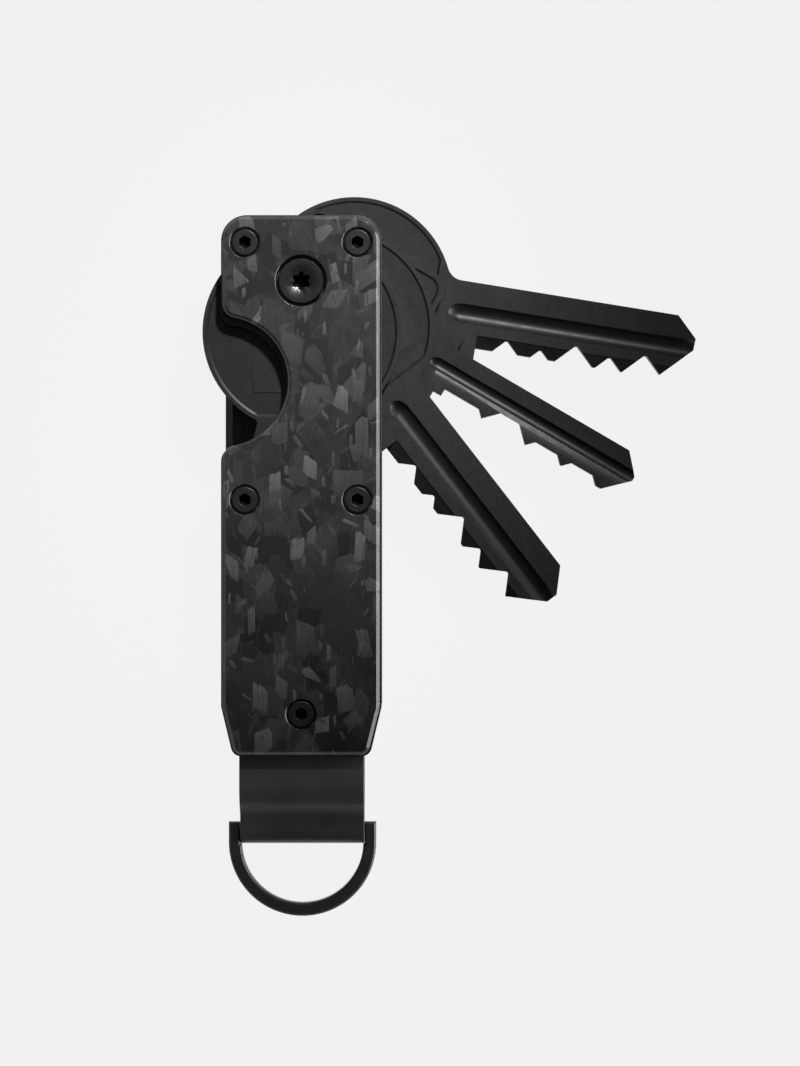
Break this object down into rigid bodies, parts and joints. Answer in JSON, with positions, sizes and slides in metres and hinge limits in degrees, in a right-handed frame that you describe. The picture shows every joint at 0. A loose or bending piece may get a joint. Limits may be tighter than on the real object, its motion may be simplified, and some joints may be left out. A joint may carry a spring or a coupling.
{
  "type": "key organiser",
  "caption": "Pocket key organiser: keys turn out of a slim two-plate case on one pivot screw, with a thumb notch and a D-ring on a folded strap.",
  "frame": {"origin": "on the outer face of the back cover, under the axis of the pivot that the keys turn on", "axes": "+X across the case, towards the open side that the keys swing out of; +Y along the case, from the ring end to the pivot end; +Z through its thickness, from the back cover to the front cover"},
  "size_m": [0.0649, 0.095, 0.0154],
  "materials": {
    "forged_carbon": "chopped carbon fibre, satin, with small flakes at every angle",
    "black_metal": "black anodised, matt",
    "black_steel": "black oxide steel, satin",
    "strap_black": "thin black formed strip, matt",
    "ring_black": "black powder coat, satin",
    "washer": "black nylon",
    "key_black": "matt black coated brass key"
  },
  "bodies": {
    "case": {"front_cover": "forged_carbon", "front_chassis": "black_metal", "rear_chassis": "black_metal", "rear_cover": "forged_carbon", "front_cover_screws": "black_steel", "rear_cover_screws": "black_steel", "bottom_screw": "black_steel", "bottom_barrel_nut": "black_steel", "pivot_screw": "black_steel", "pivot_post": "black_steel", "tension_washer": "black_steel", "end_block": "black_metal", "strap": "strap_black", "key_washer_1": "washer", "key_washer_2": "washer", "key_washer_3": "washer", "key_washer_4": "washer", "key_washer_5": "washer"},
    "key_front": {"key_front": "key_black"},
    "key_second": {"key_second": "key_black"},
    "key_third": {"key_third": "key_black"},
    "key_fourth": {"key_fourth": "key_black"},
    "ring": {"d_ring": "ring_black", "ring_bar": "ring_black"}
  },
  "joints": [
    {"name": "key_front_turn", "type": "hinge", "parent": "case", "child": "key_front", "pos_m": [0, 0, 0.0077], "axis": [0, 0, 1], "range_deg": [-5, 180]},
    {"name": "key_second_turn", "type": "hinge", "parent": "case", "child": "key_second", "pos_m": [0, 0, 0.0077], "axis": [0, 0, 1], "range_deg": [-42.76, 142.24]},
    {"name": "key_third_turn", "type": "hinge", "parent": "case", "child": "key_third", "pos_m": [0, 0, 0.0077], "axis": [0, 0, 1], "range_deg": [-64.76, 120.24]},
    {"name": "key_fourth_turn", "type": "hinge", "parent": "case", "child": "key_fourth", "pos_m": [0, 0, 0.0077], "axis": [0, 0, 1], "range_deg": [-85.86, 99.14]},
    {"name": "ring_swing", "type": "hinge", "parent": "case", "child": "ring", "pos_m": [0, -0.0717, 0.0077], "axis": [1, 0, 0], "range_deg": [-85, 85]}
  ]
}
